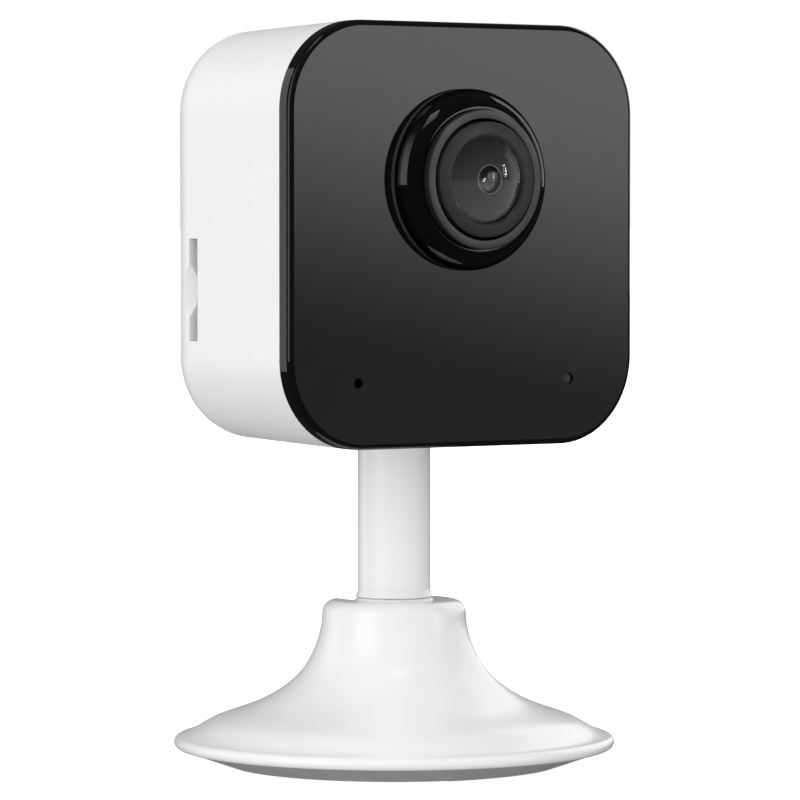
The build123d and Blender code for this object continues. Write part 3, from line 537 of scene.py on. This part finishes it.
@dataclass
class LensGroup:
    """The lens: a domed gloss ring, a bezel, the barrel's flange, the front glass and what shows in it."""

    chamfer: float = 0.12 * MM
    edge: float = 0.05 * MM
    wall: float = 0.75 * MM
    gap: float = 0.35 * MM
    glass: float = 0.5 * MM
    ridges: int = 9
    iris: float = 2.05 * MM
    tiny: float = 0.02 * MM
    centre: Vector = field(init=False)

    def __post_init__(self) -> None:
        """Finds the lens's axis from the ring's box."""
        low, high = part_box("lens_ring")
        self.centre = Vector(((low[0] + high[0]) / 2, 0.0, (low[2] + high[2]) / 2))

    def span(self, node: str) -> tuple[float, float, float]:
        """Gives a round node's outer radius, its front and its rear.

        Args:
            node: the node's name.

        Returns:
            The radius, the lowest y and the highest y.
        """
        low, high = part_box(node)
        return (high[0] - low[0]) / 2, low[1], high[1]

    def build(self) -> None:
        """Makes every piece of the lens."""
        self._ring()
        self._bezel()
        self._barrel()
        self._dome()
        self._inside()

    def _ring(self) -> None:
        """Makes the domed gloss ring, which swells forward from the panel to the bezel, and a grey band on
        its outer wall that paints the panel's reflection.
        """
        outer, front, rear = self.span("lens_ring")
        inner = self.span("lens_bezel")[0]
        bezel_r = tube_radius("lens_bezel", inner)
        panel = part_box("front_panel")[0][1]
        wall, foot = panel - self.wall, outer - 1.2 * MM
        crest = (bezel_r + 0.05 * MM, front)
        knees = ((outer + 0.05 * MM, wall - 1.35 * MM), (outer - 1.3 * MM, front - 0.15 * MM))
        outline = [*bezier((outer, wall), *knees, crest), (crest[0], rear), (foot, rear)]
        shelf = outer - 0.3 * MM
        outline += [(foot, panel + self.tiny), (shelf, panel + self.tiny), (shelf, wall)]
        # Painted reflection: a grey band on the ring's outer wall next to the panel, in place of the panel's
        # reflection there.
        band = [(outer, wall), (outer, panel - 0.03 * MM), (outer - 0.25 * MM, panel - 0.03 * MM)]
        new_piece("ring_edge", turned([*band, (outer - 0.25 * MM, wall)], self.centre), "head", PAINTED_REFLECTION_GREY)
        piece = new_piece("ring_dome", turned(outline, self.centre), "head", GLOSS_BLACK)
        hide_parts("lens_ring")

    def _bezel(self) -> None:
        """Makes the bezel: a tube with a bright-edged chamfer outside and inside its face."""
        outer, front, rear = self.span("lens_bezel")
        tube = tube_radius("lens_bezel", outer)
        inner = self.span("lens_barrel")[0] + self.gap
        ring_rear = self.span("lens_ring")[2]
        flange_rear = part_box("front_frame")[0][1]
        outline = [(inner, front + self.chamfer), (inner + self.chamfer, front), (tube - self.chamfer, front)]
        outline += [(tube, front + self.chamfer), (tube, ring_rear), (outer, ring_rear), (outer, flange_rear)]
        outline += [(tube, flange_rear), (tube, rear), (inner, rear)]
        shape = turned(softened(outline, self.edge), self.centre)
        piece = new_piece("bezel_tube", shape, "head", SATIN_BLACK)
        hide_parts("lens_bezel")

    def _barrel(self) -> None:
        """Makes the barrel: a chamfered flange that falls to the glass, and a threaded body behind it."""
        flange, front, rear = self.span("lens_barrel")
        glass_r, _, glass_rear = self.span("front_lens")
        seat = glass_r + 0.05 * MM
        body = flange - 2.25 * MM
        step = front + 3.5 * MM
        outline = [(seat, front + 0.3 * MM), (seat + 0.22 * MM, front + 0.04 * MM), (seat + 0.34 * MM, front)]
        outline += [(flange - 0.16 * MM, front + 0.1 * MM), (flange, front + 0.26 * MM), (flange, step)]
        outline += self._thread(body, step, rear)
        narrow, bore, ledge = body - 1.5 * MM, body - 0.95 * MM, front + 8.5 * MM
        outline += [(narrow, rear), (narrow, ledge), (bore, ledge)]
        outline += [(bore, glass_rear + self.tiny), (seat, glass_rear + self.tiny)]
        shape = turned(softened(outline, self.edge, 3), self.centre)
        piece = new_piece("barrel_body", shape, "head", BARREL_BLACK)
        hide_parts("lens_barrel")

    def _thread(self, body: float, start: float, end: float) -> list[Point]:
        """Gives the outline of the barrel's fine thread.

        Args:
            body: the thread's outer radius.
            start: where it starts.
            end: where it ends.

        Returns:
            The outline's points.
        """
        pitch = 0.35 * MM
        turns = int((end - start) / pitch) - 2
        points = [(body, start)]
        for k in range(turns):
            y = start + (k + 1) * pitch
            points += [(body, y), (body - 0.15 * MM, y + pitch / 2)]
        return [*points, (body, end - 0.2 * MM), (body - 0.2 * MM, end)]

    def _dome(self) -> None:
        """Makes the front glass as a thin dome."""
        radius, front, _ = self.span("front_lens")
        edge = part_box("lens_barrel")[0][1] + 0.25 * MM
        rise = edge - front
        curve = (radius**2 + rise**2) / (2 * rise)
        half = math.degrees(math.asin(radius / curve))
        outside = [(r, front + curve + y) for r, y in arc((0, 0), curve, -90, -90 + half, 28)]
        bowl = arc((0, 0), curve - self.glass, -90 + half * 0.99, -90, 28)
        inside = [(r, front + curve + y) for r, y in bowl]
        profile = [*outside, (radius, edge + self.glass), *inside]
        shape = lathe_to_axis(profile, self.centre)
        piece = new_piece("front_glass", shape, "head", THIN_GLASS)
        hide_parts("front_lens")

    def _inside(self) -> None:
        """Makes the stepped shoulder behind the glass, with the iris and second glass in its middle; the
        shoulder carries painted light, paler toward the bottom.
        """
        radius, front, _ = self.span("front_lens")
        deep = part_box("aperture_plate")[0][1]
        wide, near = radius - 0.05 * MM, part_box("lens_barrel")[0][1] + 0.85 * MM
        top = front + 1.15 * MM
        profile = []
        for k in range(self.ridges + 1):
            t = k / self.ridges
            r = wide + (self.iris - wide) * t
            y = near + (top - near) * (1 - (1 - t) ** 2)
            profile += [(r, y), (r - 0.1 * MM, y + 0.008 * MM)]
        profile[-1] = (self.iris, top)
        back = [(self.iris, deep), (wide, deep)]
        # The shoulder's finish paints light on it: paler toward the bottom.
        piece = new_piece("inner_shoulder", turned([*profile, *back], self.centre), "head", PAINTED_LIGHT_SHOULDER)
        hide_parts("aperture_plate")
        edge = self.iris - 0.09 * MM
        rim = [(edge, top + 0.1 * MM), (edge, top - 0.03 * MM), (edge + 0.11 * MM, top - 0.03 * MM)]
        rim += [(edge + 0.11 * MM, top + 0.1 * MM)]
        new_piece("iris_rim", turned(softened(rim, 0.03 * MM), self.centre), "head", RIM_GREY)
        self._second_glass(top + 0.12 * MM)

    def _second_glass(self, front: float) -> None:
        """Makes the small second glass that closes the iris.

        Args:
            front: where its face is.
        """
        steps = (0.25, 0.5, 0.75, 1.0)
        dish = [(self.iris * t, front + 0.5 * MM * t * t) for t in steps]
        rear = front + 1.1 * MM
        profile = [(0.0, front), *dish, (self.iris, rear), (0.0, rear)]
        new_piece("second_glass", lathe_to_axis(profile, self.centre), "head", DARK_GLASS)


# ---------------------------------------------------------------- stem


@dataclass
class StemFoot:
    """The small flare at the foot of the stem, where it stands on the ball."""

    flare: float = 0.28 * MM
    height: float = 1.1 * MM

    def build(self) -> None:
        """Makes the flare."""
        low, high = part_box("stem")
        radius = (high[0] - low[0]) / 2
        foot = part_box("pivot_ball")[1][2] + 0.05 * MM
        thick = 0.4 * MM
        outline = [(radius + self.flare, foot), (radius + self.flare, foot + 0.15 * MM)]
        outline += [(radius + self.flare * 0.35, foot + self.height * 0.6)]
        outline += [(radius + 0.01 * MM, foot + self.height)]
        outline += [(radius - thick, foot + self.height), (radius - thick, foot)]
        shape = turned(softened(outline, 0.1 * MM), Vector((0, 0, 0)))
        upright = Matrix.Rotation(math.radians(90), 4, "X")
        bmesh.ops.transform(shape, matrix=upright, verts=shape.verts)
        new_piece("stem_foot", shape, "head", WHITE_GLOSS)


def tube_radius(node: str, outer: float) -> float:
    """Gives the radius of a flanged tube in front of its flange, from the node's own points.

    Args:
        node: the node's name.
        outer: the flange's radius.

    Returns:
        The tube's radius.
    """
    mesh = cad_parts[node].data
    low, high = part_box(node)
    axis_x, axis_z = (low[0] + high[0]) / 2, (low[2] + high[2]) / 2
    near = [v.co for v in mesh.vertices if v.co.y < low[1] + 1.5 * MM]
    return max(math.hypot(p.x - axis_x, p.z - axis_z) for p in near) if near else outer


def bezier(start: Point, near: Point, far: Point, end: Point, spans: int = 28) -> list[Point]:
    """Gives points along a cubic curve.

    Args:
        start: the first point.
        near: the first handle.
        far: the second handle.
        end: the last point.
        spans: how many spans it is cut into.

    Returns:
        The points.
    """
    points = []
    for i in range(spans + 1):
        t = i / spans
        weights = ((1 - t) ** 3, 3 * t * (1 - t) ** 2, 3 * t * t * (1 - t), t**3)
        mixed = [[w * c for c in corner] for w, corner in zip(weights, (start, near, far, end))]
        points.append((sum(m[0] for m in mixed), sum(m[1] for m in mixed)))
    return points


def lathe_to_axis(profile: list[Point], centre: Vector, segments: int = 192) -> bmesh.types.BMesh:
    """Turns a profile whose first and last points lie on the axis.

    Args:
        profile: (radius, y) points, the first and last with radius 0.
        centre: a point on the axis.
        segments: how many spans a turn has.

    Returns:
        The closed solid.
    """
    shape = bmesh.new()
    first = shape.verts.new(centre + Vector((0, profile[0][1], 0)))
    last = shape.verts.new(centre + Vector((0, profile[-1][1], 0)))
    rings = []
    for k in range(segments):
        angle = 2 * math.pi * k / segments
        across, up = math.cos(angle), math.sin(angle)
        rings.append([shape.verts.new(centre + Vector((r * across, y, r * up))) for r, y in profile[1:-1]])
    for k, ring in enumerate(rings):
        following = rings[(k + 1) % segments]
        shape.faces.new((first, ring[0], following[0]))
        shape.faces.new((last, following[-1], ring[-1]))
        for i in range(len(ring) - 1):
            shape.faces.new((ring[i], ring[i + 1], following[i + 1], following[i]))
    return shape


# ---------------------------------------------------------------- studio


@dataclass
class Softbox:
    """A lit card that stands round the object and shows in its glossy pieces.

    The azimuth is in degrees: 0 is in front of the object, and it grows towards +X. The glow goes
    from low_glow to high_glow between two heights, along a line that leans by lean degrees. A card
    with lights_only set lights that one piece.
    """

    name: str
    azimuth: float
    distance: float
    bottom: float
    top: float
    width: float
    low_glow: float
    high_glow: float
    fade: Point = (0.0, 1.0)
    lean: float = 0.0
    glossy_only: bool = False
    lights_only: str = ""

    def build(self) -> bpy.types.Object:
        """Stands the card up, facing the object's axis.

        Returns:
            The card.
        """
        turn = math.radians(self.azimuth)
        away = Vector((math.sin(turn), -math.cos(turn), 0.0)) * self.distance
        across = Vector((math.cos(turn), math.sin(turn), 0.0))
        half = across * self.width / 2
        low, high = Vector((0, 0, self.bottom)), Vector((0, 0, self.top))
        corners = [away - half + low, away + half + low, away + half + high, away - half + high]
        card = flat_sheet(self.name, corners)
        card.data.materials.append(self._glow(across))
        card.visible_camera = False
        card.visible_shadow = False
        card.visible_diffuse = not self.glossy_only
        if self.lights_only:
            lit = bpy.data.collections.new(self.name + "_lights")
            lit.objects.link(bpy.data.objects[self.lights_only])
            card.light_linking.receiver_collection = lit
        return card

    def _glow(self, across: Vector) -> bpy.types.Material:
        """Makes the card's light.

        Args:
            across: the card's level direction.

        Returns:
            The material.
        """
        made = bpy.data.materials.new(self.name + "_light")
        made.use_nodes = True
        tree = made.node_tree
        tree.nodes.clear()
        lean = math.radians(self.lean)
        place = tree.nodes.new("ShaderNodeTexCoord")
        height = tree.nodes.new("ShaderNodeVectorMath")
        height.operation = "DOT_PRODUCT"
        height.inputs[1].default_value = across * math.sin(lean) + Vector((0, 0, math.cos(lean)))
        span = tree.nodes.new("ShaderNodeMapRange")
        span.interpolation_type = "SMOOTHSTEP"
        span.inputs["From Min"].default_value, span.inputs["From Max"].default_value = self.fade
        span.inputs["To Min"].default_value = self.low_glow
        span.inputs["To Max"].default_value = self.high_glow
        glow = tree.nodes.new("ShaderNodeEmission")
        out = tree.nodes.new("ShaderNodeOutputMaterial")
        tree.links.new(place.outputs["Object"], height.inputs[0])
        tree.links.new(height.outputs["Value"], span.inputs["Value"])
        tree.links.new(span.outputs["Result"], glow.inputs["Strength"])
        tree.links.new(glow.outputs["Emission"], out.inputs["Surface"])
        return made


def flat_sheet(name: str, corners: list[Vector]) -> bpy.types.Object:
    """Makes a flat four-cornered sheet that is part of the studio.

    Args:
        name: the sheet's name.
        corners: its corners in order.

    Returns:
        The sheet.
    """
    mesh = bpy.data.meshes.new(name)
    mesh.from_pydata(corners, [], [(0, 1, 2, 3)])
    sheet = bpy.data.objects.new(name, mesh)
    bpy.context.collection.objects.link(sheet)
    return sheet


@dataclass
class Surround:
    """The soft light from all round: an even part, and a part that grows towards the key direction."""

    even: float = 0.70
    slope: float = 0.74
    key: Vector = field(default_factory=lambda: Vector((-0.75, -0.463, 0.472)))
    mirrored: float = 0.05
    behind: float = 1.0

    def build(self) -> None:
        """Makes the world: white behind the object, soft to matt pieces, nearly dark to glossy ones."""
        world = bpy.data.worlds.new("studio")
        bpy.context.scene.world = world
        world.use_nodes = True
        tree = world.node_tree
        tree.nodes.clear()
        soft = self._soft(tree)
        dark = self._plain(tree, self.mirrored)
        white = self._plain(tree, self.behind)
        path = tree.nodes.new("ShaderNodeLightPath")
        glossy = self._mix(tree, path.outputs["Is Glossy Ray"], soft, dark)
        seen = self._mix(tree, path.outputs["Is Camera Ray"], glossy, white)
        out = tree.nodes.new("ShaderNodeOutputWorld")
        tree.links.new(seen.outputs["Shader"], out.inputs["Surface"])

    def _soft(self, tree: Tree) -> Node:
        """Adds the background whose strength follows the key direction.

        Args:
            tree: the world's nodes.

        Returns:
            The background node.
        """
        place = tree.nodes.new("ShaderNodeTexCoord")
        toward = tree.nodes.new("ShaderNodeVectorMath")
        toward.operation = "DOT_PRODUCT"
        toward.inputs[1].default_value = self.key.normalized()
        span = tree.nodes.new("ShaderNodeMapRange")
        span.inputs["From Min"].default_value = -1.0
        span.inputs["From Max"].default_value = 1.0
        span.inputs["To Min"].default_value = max(0.0, self.even - self.slope)
        span.inputs["To Max"].default_value = self.even + self.slope
        soft = self._plain(tree, 1.0)
        tree.links.new(place.outputs["Generated"], toward.inputs[0])
        tree.links.new(toward.outputs["Value"], span.inputs["Value"])
        tree.links.new(span.outputs["Result"], soft.inputs["Strength"])
        return soft

    def _plain(self, tree: Tree, strength: float) -> Node:
        """Adds a white background of one strength.

        Args:
            tree: the world's nodes.
            strength: how bright it is.

        Returns:
            The background node.
        """
        made = tree.nodes.new("ShaderNodeBackground")
        made.inputs["Color"].default_value = (1, 1, 1, 1)
        made.inputs["Strength"].default_value = strength
        return made

    def _mix(self, tree: Tree, factor: bpy.types.NodeSocket, first: Node, second: Node) -> Node:
        """Adds a switch between two shaders.

        Args:
            tree: the world's nodes.
            factor: the socket that picks the second.
            first: the shader at 0.
            second: the shader at 1.

        Returns:
            The mix node.
        """
        mix = tree.nodes.new("ShaderNodeMixShader")
        tree.links.new(factor, mix.inputs["Fac"])
        tree.links.new(first.outputs[0], mix.inputs[1])
        tree.links.new(second.outputs[0], mix.inputs[2])
        return mix


FLOOR_PAPER = Finish(
    "floor_paper", (0.93, 0.93, 0.93), 0.8, Grain.MOULDED, specular=0.1, cell=0.002, depth=0.0,
    shade_spread=0.005, glow=0.85,
)  # fmt: skip


@dataclass
class Studio:
    """The pale lit floor, the surround, the softboxes and the camera."""

    floor_half: float = 30.0
    surround: Surround = field(default_factory=Surround)
    camera_azimuth: float = -35.3
    camera_distance: float = 0.6965
    camera_height: float = 0.0794
    lens: float = 216.0
    camera_pitch: float = -2.157
    shift: Point = (0.0074, 0.0)
    softboxes: list[Softbox] = field(default_factory=list)

    def build(self) -> None:
        """Makes the whole studio."""
        self._floor()
        self.surround.build()
        for box in self.softboxes:
            box.build()
            log.info("softbox %s stands at %.0f degrees", box.name, box.azimuth)
        self._camera()

    def _floor(self) -> None:
        """Lays the lit floor at the level of the object's foot."""
        half, level = self.floor_half, CAD_BOX[0].z
        square = ((-half, -half), (half, -half), (half, half), (-half, half))
        corners = [Vector((x, y, level)) for x, y in square]
        floor = dress(flat_sheet("floor", corners), FLOOR_PAPER)
        floor.visible_glossy = False
        floor.visible_diffuse = False

    def _camera(self) -> None:
        """Places the camera at the front left, looking a little down."""
        turn = math.radians(self.camera_azimuth)
        back = Vector((math.sin(turn), -math.cos(turn), 0.0))
        data = bpy.data.cameras.new("view")
        data.lens = self.lens
        data.sensor_width = 36.0
        data.clip_start, data.clip_end = 0.01, 200.0
        data.shift_x, data.shift_y = self.shift
        camera = bpy.data.objects.new("view", data)
        bpy.context.collection.objects.link(camera)
        camera.location = back * self.camera_distance + Vector((0, 0, self.camera_height))
        camera.rotation_euler = (math.radians(90.0 + self.camera_pitch), 0.0, turn)
        bpy.context.scene.camera = camera


def studio() -> Studio:
    """Gathers the studio with its softboxes.

    Returns:
        The studio, not built yet.
    """
    softboxes = [
        Softbox(
            "mirror_card", azimuth=35.3, distance=1.0, bottom=-0.05, top=0.24, width=0.27,
            low_glow=0.32, high_glow=2.5, fade=(0.02, 0.14), lean=13.0, glossy_only=True,
        ),  # fmt: skip
        Softbox(
            "left_card", azimuth=-82.0, distance=0.9, bottom=0.0, top=1.6, width=0.55,
            low_glow=1.6, high_glow=0.1, fade=(0.25, 1.3), glossy_only=True,
        ),  # fmt: skip
        Softbox(
            "back_left_card", azimuth=-145.0, distance=1.0, bottom=-0.1, top=0.7, width=0.45,
            low_glow=1.0, high_glow=1.0, glossy_only=True,
        ),  # fmt: skip
        Softbox(
            "right_card", azimuth=76.0, distance=1.0, bottom=0.085, top=0.5, width=0.3,
            low_glow=0.8, high_glow=0.8, glossy_only=True,
        ),  # fmt: skip
        Softbox(
            "top_card", azimuth=-26.0, distance=0.5, bottom=0.7, top=1.5, width=0.35,
            low_glow=1.2, high_glow=2.4, fade=(0.7, 1.4), glossy_only=True,
        ),  # fmt: skip
        Softbox(
            "right_fill", azimuth=105.0, distance=1.2, bottom=0.05, top=1.2, width=1.2,
            low_glow=1.5, high_glow=1.5,
        ),  # fmt: skip
        Softbox(
            "lamp", azimuth=20.0, distance=1.0, bottom=0.055, top=0.135, width=0.08,
            low_glow=60.0, high_glow=60.0, glossy_only=True, lights_only="front_glass",
        ),  # fmt: skip
        Softbox(
            "slit_lamp", azimuth=57.6, distance=1.0, bottom=0.13, top=0.36, width=0.045,
            low_glow=50.0, high_glow=50.0, glossy_only=True, lights_only="front_glass",
        ),  # fmt: skip
    ]
    return Studio(softboxes=softboxes)


# ---------------------------------------------------------------- run


def main() -> None:
    """Builds the pieces in order and reports each one."""
    logging.basicConfig(level=logging.INFO, format="%(name)s: %(message)s")
    bpy.context.scene.view_settings.view_transform = "Standard"
    log.info("dressed %d nodes of the frame", dress_frame())
    LensGroup().build()
    StemFoot().build()
    studio().build()


if __name__ == "__main__":
    main()
